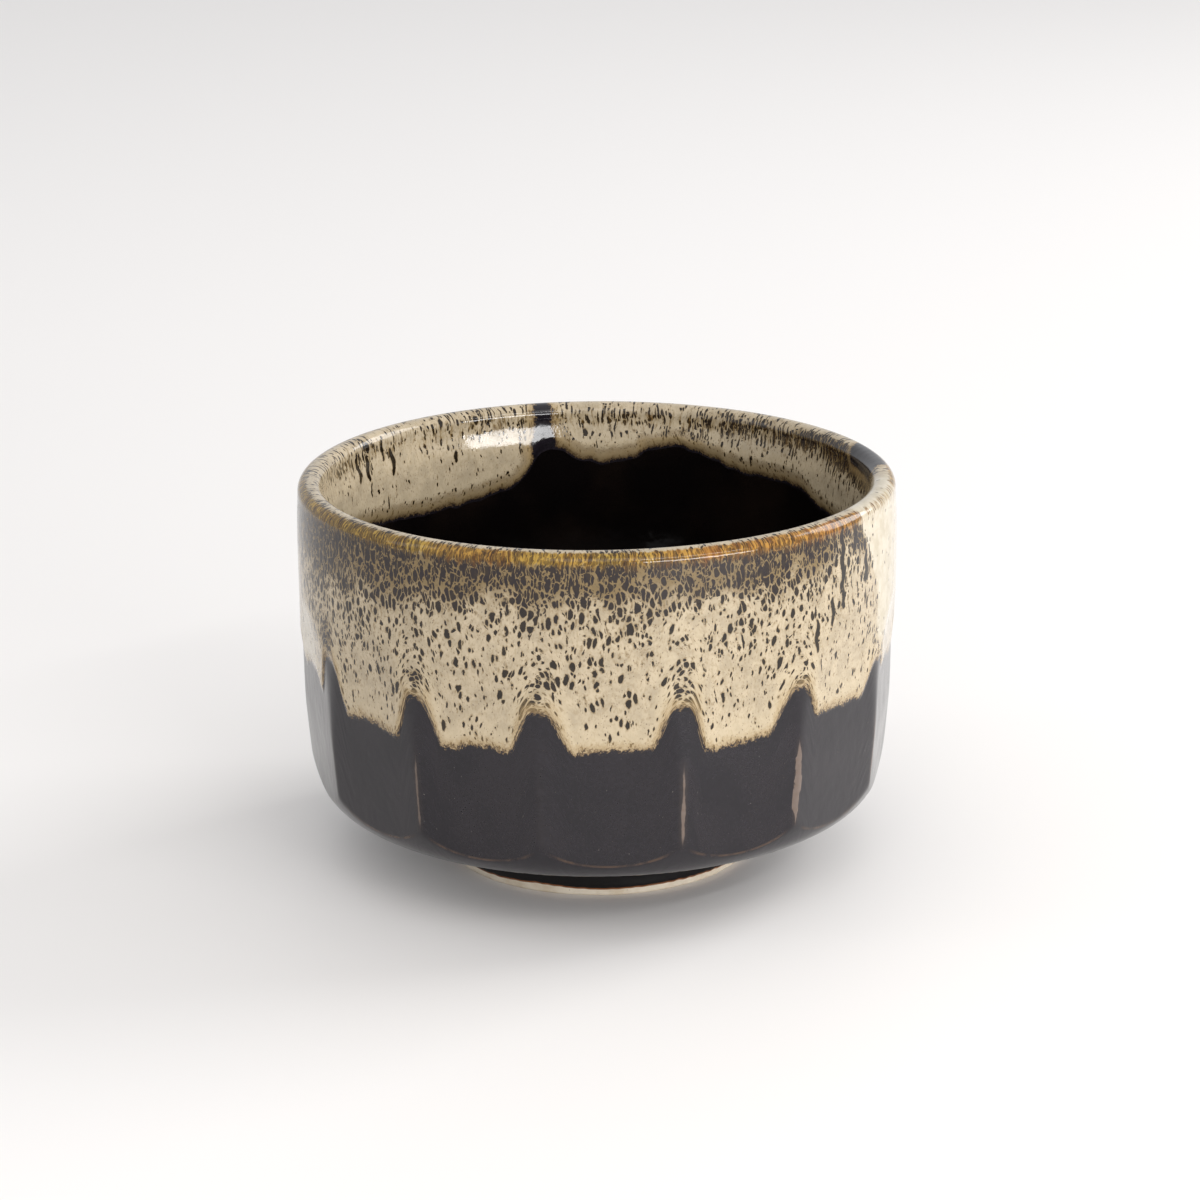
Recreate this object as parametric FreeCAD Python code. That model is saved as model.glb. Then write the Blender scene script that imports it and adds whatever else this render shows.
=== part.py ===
import FreeCAD, Part
import math
import os

# A faceted stoneware matcha bowl: thrown clay, an applied foot ring and its coats of glaze.
# Millimetres. +Z is up, the origin is the centre of the foot's resting face, the front is -Y.
# An angle round the bowl is measured from the front towards +X.
# A "depth" is a distance into the clay from the surface of the dark glaze, outside or inside.

# Driving dimensions
HEIGHT = 79.4              # resting face to crest of the lip
WALL_R = 60.0              # upright wall, measured on the dark glaze
DARK_COAT = 0.5            # thickness of the dark glaze
CREAM_COAT = 0.35          # thickness of the cream glaze poured over the dark one
FACETS = 14                # flats cut round the outside
FIRST_ARRIS = 15.0         # angle of the first edge between two flats
BAND_Z = 76.6              # the amber lip band starts here, inside and outside

# Outside of the bowl
SHOULDER_Z = 66.0          # above this the wall leans in a little
SHOULDER_ARC = 160.7
TURN_R = 20.6              # large arc where the wall turns under
TURN_Z = 27.0
HEEL_R = 8.1               # tighter arc that follows it
HEEL_ANGLE = -31.3         # where the large arc ends
BELLY_ANGLE = -72.5        # where the tighter arc ends and the sloping underside starts

# Lip
LIP_EDGE = 2.3             # rounding of both edges of the glazed lip
LIP_CLAY_EDGE = 1.5        # rounding of the clay below it
LIP_INNER_R = 55.02

# Foot
FOOT_R = 31.2              # glazed side of the foot ring
FOOT_FILLET = 3.0
FOOT_INNER_R = 25.4        # at the resting face
FOOT_DRAFT = 0.8           # the inner side closes in by this much at its top
FOOT_EDGE = 0.6            # bevel of the resting face
FOOT_GLAZE_Z = 1.2         # the dark glaze stops here, above the resting face
WELL_Z = 6.6               # underside of the clay inside the foot ring
WELL_GLAZE_Z = 1.6

# Inside of the bowl
BASE_ARC = 19.6            # arc between the inner wall and the floor
BASE_R = 34.6
BASE_Z = 32.0
INNER_LEAN = 1.5           # degrees, the inner wall opens towards the lip
FLOOR_ANGLE = -84.0        # where that arc meets the shallow dish of the floor

# The flats: distance from the axis at a few heights, measured on the dark glaze
FLAT_PROFILE = (
    (56.7, 12.0),
    (57.8, 24.0),
    (58.5, 33.0),
    (58.7, 43.0),
    (59.0, 50.0),
    (59.75, 56.0),
    (60.9, 61.0),
)
FLAT_REACH = 75.0          # the cutter's outer side, clear of the bowl
FLAT_HALF_WIDTH = 16.0
OVERRUN = 3.0              # a cutting tool runs this far past the ends of what it cuts

# Lower edge of the cream glaze
CREAM_Z = 40.0             # on the flats
PEAK_Z = 48.0              # tip of the bare tongue on each arris
PEAK_HALF_WIDTH = 6.2
PEAK_TIP_R = 2.0
TONGUE_START = 54.0         # the tool that bares a tongue starts this far from the axis, inside the wall
TONGUE_REACH = 12.0         # and is this deep
TONGUE_OVERLAP = 1.0        # and reaches this far below the cream's edge on the flats
INNER_CREAM_Z = 66.0       # inside, below the lip


def polar(centre, radius, angle):
    """Point on an arc in the profile plane, as (r, z)."""
    turn = math.radians(angle)
    return (centre[0] + radius * math.cos(turn), centre[1] + radius * math.sin(turn))


def point(place):
    return FreeCAD.Vector(place[0], 0.0, place[1])


def line(start, end):
    return Part.makeLine(point(start), point(end))


def arc(centre, radius, start, end):
    middle = polar(centre, radius, (start + end) / 2)
    ends = (polar(centre, radius, start), polar(centre, radius, end))
    return Part.Arc(point(ends[0]), point(middle), point(ends[1])).toShape()


def edge_end(edge, which):
    """(r, z) of an edge's start (0) or end (1)."""
    place = edge.valueAt(edge.LastParameter if which else edge.FirstParameter)
    return (place.x, place.z)


def close(edges):
    """Join the edges in order, with straight lines across the gaps between them."""
    chain = []
    for index, edge in enumerate(edges):
        chain.append(edge)
        here = edge_end(edge, 1)
        following = edge_end(edges[(index + 1) % len(edges)], 0)
        if math.dist(here, following) > 1e-6:
            chain.append(line(here, following))
    return Part.Face(Part.Wire(chain))


def turned(edges):
    """Solid of revolution of a closed profile."""
    return close(edges).revolve(FreeCAD.Vector(0, 0, 0), FreeCAD.Vector(0, 0, 1), 360)


# Centres of the arcs, the same at every depth
SHOULDER_CENTRE = (WALL_R - SHOULDER_ARC, SHOULDER_Z)
TURN_CENTRE = (WALL_R - TURN_R, TURN_Z)
HEEL_CENTRE = polar(polar(TURN_CENTRE, TURN_R, HEEL_ANGLE), -HEEL_R, HEEL_ANGLE)
BASE_CENTRE = (BASE_R, BASE_Z)


def fillet_centre():
    """Centre of the fillet that joins the sloping underside to the side of the foot."""
    heel_end = polar(HEEL_CENTRE, HEEL_R + FOOT_FILLET, BELLY_ANGLE)
    centre_r = FOOT_R + FOOT_FILLET
    slope = math.radians(BELLY_ANGLE + 90)
    return (centre_r, heel_end[1] - (heel_end[0] - centre_r) * math.tan(slope))


FILLET_CENTRE = fillet_centre()


def upper_wall(depth):
    """Outer wall from the lip band down to the turn."""
    shoulder_r = SHOULDER_ARC - depth
    top_angle = math.degrees(math.asin((BAND_Z - SHOULDER_Z) / shoulder_r))
    shoulder = arc(SHOULDER_CENTRE, shoulder_r, top_angle, 0)
    return [shoulder, line((WALL_R - depth, SHOULDER_Z), (WALL_R - depth, TURN_Z))]


def lower_wall(depth):
    """Turn, heel, sloping underside and the fillet at the foot, from the top down."""
    turn = arc(TURN_CENTRE, TURN_R - depth, 0, HEEL_ANGLE)
    heel = arc(HEEL_CENTRE, HEEL_R - depth, HEEL_ANGLE, BELLY_ANGLE)
    fillet = arc(FILLET_CENTRE, FOOT_FILLET + depth, BELLY_ANGLE + 180, 180)
    slope = line(edge_end(heel, 1), edge_end(fillet, 0))
    return [turn, heel, slope, fillet]


def inner_wall(depth):
    """Inner wall and floor, from the lip band down to the axis."""
    base = arc(BASE_CENTRE, BASE_ARC + depth, -INNER_LEAN, FLOOR_ANGLE)
    wall_foot = edge_end(base, 0)
    top_r = wall_foot[0] + (BAND_Z - wall_foot[1]) * math.tan(math.radians(INNER_LEAN))
    dish_edge = polar(BASE_CENTRE, BASE_ARC, FLOOR_ANGLE)
    dish_arc = dish_edge[0] / math.cos(math.radians(FLOOR_ANGLE))
    dish_centre = (0.0, dish_edge[1] - dish_arc * math.sin(math.radians(FLOOR_ANGLE)))
    floor = arc(dish_centre, dish_arc + depth, FLOOR_ANGLE, -90)
    return [line((top_r, BAND_Z), wall_foot), base, floor]


def lip(outer_r, inner_r, crest, edge):
    """Rounded lip from the inner side over the crest to the outer side."""
    inner = arc((inner_r + edge, crest - edge), edge, 180, 90)
    outer = arc((outer_r - edge, crest - edge), edge, 90, 0)
    return [inner, outer, line(edge_end(outer, 1), (outer_r, BAND_Z))]


def flats(depth):
    """One cutter for each flat round the bowl."""
    places = [FreeCAD.Vector(distance - depth, -FLAT_HALF_WIDTH, z) for distance, z in FLAT_PROFILE]
    curve = Part.BSplineCurve()
    curve.interpolate(places)
    low = FreeCAD.Vector(FLAT_REACH, -FLAT_HALF_WIDTH, places[0].z)
    high = FreeCAD.Vector(FLAT_REACH, -FLAT_HALF_WIDTH, places[-1].z)
    sides = [
        curve.toShape(),
        Part.makeLine(places[-1], high),
        Part.makeLine(high, low),
        Part.makeLine(low, places[0]),
    ]
    cutter = Part.Face(Part.Wire(sides)).extrude(FreeCAD.Vector(0, 2 * FLAT_HALF_WIDTH, 0))
    return ring_of(cutter, FIRST_ARRIS + 180 / FACETS)


def ring_of(shape, first_angle):
    """Copies of a shape that points along +X, one for each flat or arris."""
    copies = []
    for index in range(FACETS):
        copy = shape.copy()
        angle = first_angle + index * 360 / FACETS - 90
        copy.rotate(FreeCAD.Vector(0, 0, 0), FreeCAD.Vector(0, 0, 1), angle)
        copies.append(copy)
    return copies


def core(depth, outline, low_z, overrun):
    """Everything inside an outline, with the flats cut; a tool runs past both of its ends."""
    top = edge_end(outline[0], 0)
    foot = edge_end(outline[-1], 1)
    outline = [
        line((0, BAND_Z + overrun), (top[0], BAND_Z + overrun)),
        *outline,
        line(foot, (foot[0], low_z - overrun)),
        line((foot[0], low_z - overrun), (0, low_z - overrun)),
    ]
    return turned(outline).cut(flats(depth))


def whole_outside(depth, overrun=0.0):
    """The outer surface at a depth, from the lip band down to the foot's glaze line."""
    return core(depth, upper_wall(depth) + lower_wall(depth), FOOT_GLAZE_Z, overrun)


def upper_outside(depth, overrun=0.0):
    """The outer surface at a depth, from the lip band down to the cream glaze's lower edge."""
    shoulder = upper_wall(depth)[0]
    return core(depth, [shoulder], CREAM_Z, overrun)


def tongues():
    """Round-tipped prisms where the dark glaze shows through on each arris."""
    tip = (0.0, PEAK_Z - PEAK_TIP_R)
    low = CREAM_Z - TONGUE_OVERLAP
    corners = ((-PEAK_HALF_WIDTH, low), (-PEAK_TIP_R, tip[1]), (PEAK_TIP_R, tip[1]), (PEAK_HALF_WIDTH, low))
    places = [FreeCAD.Vector(TONGUE_START, across, z) for across, z in corners]
    crown = Part.Arc(places[1], FreeCAD.Vector(TONGUE_START, 0, PEAK_Z), places[2]).toShape()
    sides = [
        Part.makeLine(places[0], places[1]),
        crown,
        Part.makeLine(places[2], places[3]),
        Part.makeLine(places[3], places[0]),
    ]
    return ring_of(Part.Face(Part.Wire(sides)).extrude(FreeCAD.Vector(TONGUE_REACH, 0, 0)), FIRST_ARRIS)


def clay_lip():
    outer_r = edge_end(upper_wall(DARK_COAT)[0], 0)[0]
    inner_r = edge_end(inner_wall(DARK_COAT)[0], 0)[0]
    return lip(outer_r, inner_r, HEIGHT - DARK_COAT - CREAM_COAT, LIP_CLAY_EDGE)


def clay_body():
    """The thrown and faceted wall and floor, without its foot."""
    outside = upper_wall(DARK_COAT) + lower_wall(DARK_COAT)[:3]
    seat = foot_seat()
    underside = [line(edge_end(outside[-1], 1), seat), line(seat, (0, WELL_Z))]
    inside = [reversed_edge(edge) for edge in reversed(inner_wall(DARK_COAT))]
    return turned(clay_lip() + outside + underside + inside).cut(flats(DARK_COAT))


def reversed_edge(edge):
    """The same edge, drawn from its end to its start."""
    middle = edge.valueAt((edge.FirstParameter + edge.LastParameter) / 2)
    start = edge.valueAt(edge.FirstParameter)
    end = edge.valueAt(edge.LastParameter)
    if abs(edge.Length - start.distanceToPoint(end)) < 1e-9:
        return Part.makeLine(end, start)
    return Part.Arc(end, middle, start).toShape()


def foot_seat():
    """(r, z) where the sloping clay underside meets the flat inside the foot ring."""
    slope = lower_wall(DARK_COAT)[2]
    high, low = edge_end(slope, 0), edge_end(slope, 1)
    share = (WELL_Z - low[1]) / (high[1] - low[1])
    return (low[0] + share * (high[0] - low[0]), WELL_Z)


def foot_ring():
    """The turned ring that is luted to the underside, with its outer fillet."""
    fillet = lower_wall(DARK_COAT)[3]
    side_r = FOOT_R - DARK_COAT
    outline = [
        fillet,
        line((side_r, FILLET_CENTRE[1]), (side_r, FOOT_EDGE)),
        line((side_r, FOOT_EDGE), (side_r - FOOT_EDGE, 0)),
        line((side_r - FOOT_EDGE, 0), (FOOT_INNER_R + FOOT_EDGE, 0)),
        line((FOOT_INNER_R + FOOT_EDGE, 0), (FOOT_INNER_R, FOOT_EDGE)),
        line((FOOT_INNER_R, FOOT_EDGE), (FOOT_INNER_R - FOOT_DRAFT, WELL_Z)),
        line((FOOT_INNER_R - FOOT_DRAFT, WELL_Z), foot_seat()),
    ]
    return turned(outline)


def foot_well_glaze():
    """The coat inside the foot ring: the underside of the bowl and the ring's inner side."""
    rise = WELL_Z - FOOT_EDGE
    low_r = FOOT_INNER_R - FOOT_DRAFT * (WELL_GLAZE_Z - FOOT_EDGE) / rise
    high_r = FOOT_INNER_R - FOOT_DRAFT
    outline = [
        line((0, WELL_Z), (high_r, WELL_Z)),
        line((high_r, WELL_Z), (low_r, WELL_GLAZE_Z)),
        line((low_r - DARK_COAT, WELL_GLAZE_Z), (high_r - DARK_COAT, WELL_Z - DARK_COAT)),
        line((high_r - DARK_COAT, WELL_Z - DARK_COAT), (0, WELL_Z - DARK_COAT)),
    ]
    return turned(outline)


def dark_glaze_outer():
    return whole_outside(0.0).cut(whole_outside(DARK_COAT, OVERRUN))


def dark_glaze_inner():
    surface = [reversed_edge(edge) for edge in reversed(inner_wall(0.0))]
    return turned(inner_wall(DARK_COAT) + surface)


def cream_glaze_outer():
    return upper_outside(-CREAM_COAT).cut([upper_outside(0.0, OVERRUN)] + tongues())


def cream_glaze_inner():
    """A narrow band below the lip, over the dark glaze."""
    top_r = edge_end(inner_wall(0.0)[0], 0)[0]
    low_r = top_r - (BAND_Z - INNER_CREAM_Z) * math.tan(math.radians(INNER_LEAN))
    outline = [
        line((top_r, BAND_Z), (low_r, INNER_CREAM_Z)),
        line((low_r - CREAM_COAT, INNER_CREAM_Z), (top_r - CREAM_COAT, BAND_Z)),
    ]
    return turned(outline)


def rim_glaze():
    """The lip's own band of amber glaze, as thick as both coats together."""
    outer_r = edge_end(upper_wall(-CREAM_COAT)[0], 0)[0]
    surface = lip(outer_r, LIP_INNER_R, HEIGHT, LIP_EDGE)
    clay = clay_lip()
    clay_outer_r = edge_end(clay[1], 1)[0]
    clay_inner_r = edge_end(clay[0], 0)[0]
    backing = [
        line((clay_outer_r, BAND_Z), edge_end(clay[1], 1)),
        reversed_edge(clay[1]),
        reversed_edge(clay[0]),
        line(edge_end(clay[0], 0), (clay_inner_r, BAND_Z)),
    ]
    return turned([line((LIP_INNER_R, BAND_Z), edge_end(surface[0], 0))] + surface + backing)


PIECES = (
    clay_body,
    foot_ring,
    foot_well_glaze,
    dark_glaze_outer,
    dark_glaze_inner,
    rim_glaze,
    cream_glaze_outer,
    cream_glaze_inner,
)

os.makedirs("parts", exist_ok=True)
for piece in PIECES:
    shape = piece()
    solids = shape.Solids
    print(piece.__name__, len(solids), shape.isValid(), round(shape.Volume), shape.BoundBox)
    solids[0].exportStep("parts/" + piece.__name__ + ".step")
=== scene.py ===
import math

import bpy
import numpy as np
from mathutils import Matrix, Vector


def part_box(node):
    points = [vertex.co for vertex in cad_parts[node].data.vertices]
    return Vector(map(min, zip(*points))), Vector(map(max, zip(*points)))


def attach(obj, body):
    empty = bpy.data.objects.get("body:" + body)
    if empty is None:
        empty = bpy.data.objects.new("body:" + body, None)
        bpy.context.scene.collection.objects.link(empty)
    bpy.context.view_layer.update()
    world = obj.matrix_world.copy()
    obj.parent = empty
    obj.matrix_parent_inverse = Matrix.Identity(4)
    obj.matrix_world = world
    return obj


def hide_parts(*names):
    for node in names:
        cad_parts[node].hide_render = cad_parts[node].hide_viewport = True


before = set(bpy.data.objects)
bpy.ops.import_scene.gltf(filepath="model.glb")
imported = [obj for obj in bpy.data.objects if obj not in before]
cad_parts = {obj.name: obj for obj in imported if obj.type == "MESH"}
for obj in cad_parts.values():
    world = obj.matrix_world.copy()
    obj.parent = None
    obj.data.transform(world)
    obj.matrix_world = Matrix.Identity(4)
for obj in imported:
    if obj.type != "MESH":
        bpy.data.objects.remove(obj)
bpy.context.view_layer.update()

# A faceted matcha bowl. Shapes are worked out in millimetres and turned to metres as each mesh is made.
# An angle round the bowl is measured from the front (-Y) towards +X, in degrees.
# A "lift" is a distance out of the dark glaze's surface, into the air.
# "Along" is a distance on the bowl's profile, from the foot up the wall, over the lip and down inside.

MM = 0.001
FACETS = 14
PITCH = 360 / FACETS
HALF_FLAT = PITCH / 2

# Sizes read from the frame
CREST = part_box("rim_glaze")[1].z / MM
WALL_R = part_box("dark_glaze_outer")[1].x / MM
BAND_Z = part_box("dark_glaze_outer")[1].z / MM
WELL_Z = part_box("foot_well_glaze")[1].z / MM
INNER_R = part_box("cream_glaze_inner")[1].x / MM

# Coats
DARK_COAT = 0.5       # how deep the dark glaze goes under its own surface
CREAM_COAT = 0.35     # how far the cream glaze stands off the dark glaze
BACK_LIFT = -0.12     # the back of the cream glaze lies just inside the dark glaze
SEAM = 0.04           # a row this close to a coat's end keeps the shading straight up to it

# The shape of the faceted wall
WALL_LOW = 27.0       # the belly's arc ends here and the straight wall begins
INNER_LEAN = math.radians(1.5)
ARRIS_ROUND = 0.42    # half-width of the rounding along an arris
FLAT_ENDS = 11.5, 62.0
FLAT_HEIGHTS = (12.0, 24.0, 33.0, 43.0, 50.0, 56.0, 61.0)
FLAT_DISTANCES = (56.7, 57.8, 58.5, 58.7, 59.0, 59.75, 60.9)

# The arrises: angle, height of the dark tongue on it, half-widths of the tongue to its left and
# right, and the height of the cream edge at about a quarter, a half and three quarters of the flat
# that follows it; then how worn the arris is.
ANGLE, TONGUE, LEFT, RIGHT = range(4)
VALLEYS = slice(4, 7)
WORN = 7
ARRISES = (
    (-61.3, 49.4, 5.0, 5.2, 39.2, 40.2, 38.6, 0.25),
    (-35.8, 48.1, 4.3, 5.6, 38.1, 40.8, 39.0, 0.45),
    (-10.9, 48.1, 5.2, 5.4, 40.0, 40.4, 40.2, 0.08),
    (15.6, 48.5, 5.6, 4.1, 38.9, 39.6, 40.0, 0.60),
    (40.1, 48.4, 6.0, 4.6, 41.6, 41.2, 40.6, 1.00),
    (66.4, 46.8, 5.0, 4.8, 43.8, 44.0, 41.5, 0.45),
)
VALLEY_SHARES = (0.27, 0.52, 0.77)

# The arrises not listed follow at even steps from this one, give or take a little
EVEN_ROW, EVEN_ANGLE = 3, 15.0
STRAY = 0.6

# Lower edge of the cream glaze inside: angle and height
INNER_EDGE = (
    (-126, 60.1), (-137, 59.3), (-148, 59.7), (-158, 61.4), (-163, 63.3), (-166, 68.2), (-168.5, 70.3),
    (-172, 70.0), (-176, 67.6), (178, 66.4), (172, 67.8), (168, 69.9), (161, 71.2), (154, 69.2),
    (146, 66.8), (135, 66.7), (128, 66.3), (122, 63.5), (116, 62.7), (95, 61.0), (70, 64.5), (45, 62.0),
    (15, 65.5), (-15, 61.5), (-45, 64.0), (-70, 60.5), (-100, 62.8),
)

# Long drips of dark: angle, pattern height at each end, and half their width
DRIPS = (
    (51.3, 80.0, 59.8, 0.62), (55.6, 79.0, 70.5, 0.68), (59.7, 71.0, 63.8, 0.60),
    (48.3, 64.5, 58.0, 0.46), (44.0, 61.0, 53.8, 0.42),
    (-115.3, 83.2, 89.4, 0.52), (-119.1, 84.0, 89.8, 0.66), (-128.1, 84.0, 90.3, 0.62),
    (-125.2, 82.0, 86.8, 0.46), (-146.4, 88.0, 90.8, 0.44),
)

# Where the dark glaze ends on the foot's side: angle and height
FOOT_EDGE = (
    (0, 1.2), (-24, 1.75), (-40, 1.1), (-75, 1.3), (-120, 0.9), (-160, 1.6),
    (155, 1.1), (110, 1.5), (70, 1.0), (31, 1.4),
)


# ---------------------------------------------------------------- profile

class Profile:
    """The dark glaze's surface, uncut, from the foot's side over the lip and down to the floor's middle."""

    def __init__(self):
        self.rows = []
        self.marks = {}

    def line(self, start, end, normal, count=24):
        for share in np.linspace(0, 1, count):
            r = start[0] + (end[0] - start[0]) * share
            z = start[1] + (end[1] - start[1]) * share
            self.rows.append((r, z, normal[0], normal[1]))

    def arc(self, centre, radius, start, end, outward=1, count=48):
        for angle in np.radians(np.linspace(start, end, count)):
            c, s = math.cos(angle), math.sin(angle)
            self.rows.append((centre[0] + radius * c, centre[1] + radius * s, outward * c, outward * s))

    def mark(self, name):
        self.marks[name] = len(self.rows)

    def close(self):
        table = np.array(self.rows)
        step = np.hypot(np.diff(table[:, 0]), np.diff(table[:, 1]))
        along = np.concatenate([[0], np.cumsum(step)])
        self.marks = {name: along[min(index, len(along) - 1)] for name, index in self.marks.items()}
        keep = np.concatenate([[True], step > 1e-6])
        self.along, self.table = along[keep], table[keep]

    def at(self, along):
        """(r, z, normal r, normal z) at distances along the profile."""
        return [np.interp(along, self.along, self.table[:, column]) for column in range(4)]


def polar(centre, radius, angle):
    turn = math.radians(angle)
    return (centre[0] + radius * math.cos(turn), centre[1] + radius * math.sin(turn))


def bowl_profile():
    """The same arcs as the solids have."""
    foot_r, fillet = 31.2, 3.0
    turn_r, turn_z, heel_r = 20.6, WALL_LOW, 8.1
    heel_angle, belly_angle = -31.3, -72.5
    shoulder_z, shoulder_arc = 66.0, 160.7
    turn_centre = (WALL_R - turn_r, turn_z)
    heel_centre = polar(polar(turn_centre, turn_r, heel_angle), -heel_r, heel_angle)
    belly = math.radians(belly_angle)
    heel_out = polar(heel_centre, heel_r + fillet, belly_angle)
    drop = (heel_out[0] - foot_r - fillet) * math.tan(belly + math.pi / 2)
    fillet_centre = (foot_r + fillet, heel_out[1] - drop)
    p = Profile()
    p.line((foot_r, 0.4), (foot_r, fillet_centre[1]), (1, 0))
    p.arc(fillet_centre, fillet, 180, belly_angle + 180, outward=-1)
    slope_low = polar(fillet_centre, fillet, belly_angle + 180)
    slope_high = polar(heel_centre, heel_r, belly_angle)
    p.line(slope_low, slope_high, (math.cos(belly), math.sin(belly)))
    p.mark("heel")
    p.arc(heel_centre, heel_r, belly_angle, heel_angle)
    p.arc(turn_centre, turn_r, heel_angle, 0)
    p.mark("wall")
    p.line((WALL_R, turn_z), (WALL_R, shoulder_z), (1, 0))
    shoulder_top = math.degrees(math.asin((BAND_Z - shoulder_z) / shoulder_arc))
    p.arc((WALL_R - shoulder_arc, shoulder_z), shoulder_arc, 0, shoulder_top)
    p.mark("band")
    lip_edge = 1.95
    crest = CREST - CREAM_COAT
    band_r = p.rows[-1][0]
    p.arc((band_r - lip_edge, crest - lip_edge), lip_edge, shoulder_top, 90)
    p.mark("crest")
    p.arc((INNER_R + lip_edge, crest - lip_edge), lip_edge, 90, 180)
    p.mark("inner_band")
    base_arc, base_z, floor_angle = 19.6, 32.0, -84.0
    wall_foot_z = base_z - base_arc * math.sin(INNER_LEAN)
    wall_foot_r = INNER_R - (BAND_Z - wall_foot_z) * math.tan(INNER_LEAN)
    base_centre = (wall_foot_r - base_arc * math.cos(INNER_LEAN), base_z)
    inward = (-math.cos(INNER_LEAN), math.sin(INNER_LEAN))
    p.line((INNER_R, BAND_Z), (wall_foot_r, wall_foot_z), inward, count=80)
    p.mark("base")
    p.arc(base_centre, base_arc, -math.degrees(INNER_LEAN), floor_angle, outward=-1)
    p.mark("dish")
    dish_edge = polar(base_centre, base_arc, floor_angle)
    dish_arc = dish_edge[0] / math.cos(math.radians(floor_angle))
    dish_centre = (0, dish_edge[1] - dish_arc * math.sin(math.radians(floor_angle)))
    p.arc(dish_centre, dish_arc, floor_angle, -90, outward=-1)
    p.mark("axis")
    p.close()
    return p


PROFILE = bowl_profile()
AT = PROFILE.marks


# ---------------------------------------------------------------- what changes round the bowl

def full_arrises():
    """The arrises of the front, and those of the back, which are much like them."""
    rng = np.random.default_rng(11)
    rows = list(ARRISES)
    for index in range(len(ARRISES), FACETS):
        angle = EVEN_ANGLE + PITCH * (index - EVEN_ROW) + rng.uniform(-STRAY, STRAY)
        if angle > 180:
            angle -= 360
        valleys = rng.uniform(38.4, 41.4, len(VALLEY_SHARES))
        tongue = rng.uniform(46.5, 49.6)
        halves = rng.uniform(4.2, 6.0, 2)
        rows.append((angle, tongue, *halves, *valleys, rng.uniform(0.1, 1.0)))
    return sorted(rows)


ALL_ARRISES = full_arrises()
ARRIS_TABLE = np.array(ALL_ARRISES)


def columns():
    """Angles of the mesh's columns, closer together beside each arris, and how far across its flat
    each one is, from -1 to 1."""
    per_flat = 52
    spread = 0.72
    angles, across = [], []
    for index, row in enumerate(ALL_ARRISES):
        start = row[ANGLE]
        end = ALL_ARRISES[(index + 1) % FACETS][ANGLE] + (360 if index == FACETS - 1 else 0)
        for u in np.arange(per_flat) / per_flat * 2 - 1:
            place = u + spread * math.sin(math.pi * u) / math.pi
            angles.append((start + end) / 2 + place * (end - start) / 2)
            across.append(place)
    return np.array(angles), np.array(across)


PHI, ACROSS = columns()
COUNT = len(PHI)
COS, SIN = np.cos(np.radians(PHI)), np.sin(np.radians(PHI))
DEGREE_MM = WALL_R * math.pi / 180     # millimetres of wall in one degree


def wrapped(angle):
    """The same angle, between -180 and 180."""
    return (angle + 180) % 360 - 180


def ring_values(points, blur):
    """A smooth closed curve through (angle, value) points, at the mesh's columns; blur is in degrees."""
    step = 0.25
    fine = np.arange(-180, 180, step)
    angles = np.array([a for a, _ in points], float)
    values = np.array([v for _, v in points], float)
    order = np.argsort(angles)
    curve = np.interp(fine, angles[order], values[order], period=360)
    steps = int(4 * blur / step)
    reach = np.arange(-steps, steps + 1) * step
    weight = np.exp(-0.5 * (reach / blur) ** 2)
    padded = np.concatenate([curve[-len(reach):], curve, curve[:len(reach)]])
    smooth = np.convolve(padded, weight / weight.sum(), "same")[len(reach):-len(reach)]
    return np.interp(PHI, fine, smooth, period=360)


def hump(distance, width):
    """1 at no distance, falling smoothly to nothing over about two widths."""
    return np.exp(-(distance / width) ** 2)


def ripple(seed, longest, shortest):
    """Seeded waviness round the bowl, about -1 to 1, with waves between two lengths in degrees."""
    count, calm = 14, 4
    rng = np.random.default_rng(seed)
    total = np.zeros(COUNT)
    for waves in rng.integers(int(360 / longest), int(360 / shortest), count):
        total += np.sin(np.radians(PHI) * waves + rng.uniform(0, 2 * math.pi))
    return total / calm


def nearest_arris():
    """Degrees from each column to its nearest arris, signed, and that arris's row."""
    best = np.full(COUNT, np.inf)
    which = np.zeros(COUNT, int)
    for index, row in enumerate(ALL_ARRISES):
        offset = wrapped(PHI - row[ANGLE])
        closer = np.abs(offset) < np.abs(best)
        best[closer] = offset[closer]
        which[closer] = index
    return best, which


OFFSET, NEAR = nearest_arris()


def cream_edge():
    """Height of the outer cream glaze's lower edge at each column."""
    points = []
    for index, row in enumerate(ALL_ARRISES):
        width = (ALL_ARRISES[(index + 1) % FACETS][ANGLE] - row[ANGLE]) % 360
        for share, height in zip(VALLEY_SHARES, row[VALLEYS]):
            points.append((wrapped(row[ANGLE] + share * width), height))
    base = ring_values(points, 1.9)
    # the cream stops higher on the flat at the far left
    base = base + 5.0 * hump(PHI + 75, 8.0)
    narrowing, squareness = 0.76, 3.2
    half = np.where(OFFSET < 0, ARRIS_TABLE[NEAR, LEFT], ARRIS_TABLE[NEAR, RIGHT]) * narrowing
    tongue = np.exp(-np.abs(OFFSET / half) ** squareness)
    return base + (ARRIS_TABLE[NEAR, TONGUE] - base) * tongue + 0.22 * ripple(3, 12, 2.5)


CREAM_EDGE = cream_edge()
INNER_CREAM_EDGE = ring_values(INNER_EDGE, 1.0) + 0.2 * ripple(5, 14, 3)
FOOT_GLAZE_EDGE = ring_values(FOOT_EDGE, 4.0) + 0.06 * ripple(7, 20, 4)


def flat_distance(z):
    """Distance of a flat from the axis at heights, averaged a little up and down to round the corners."""
    shifts = (0.0, -2.0, 2.0)
    return sum(np.interp(z + shift, FLAT_HEIGHTS, FLAT_DISTANCES) for shift in shifts) / len(shifts)


def flat_radius(z, degrees_across):
    """Distance from the axis to a flat, at heights and at angles from the flat's middle."""
    return flat_distance(z) / np.cos(np.radians(degrees_across))


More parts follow.
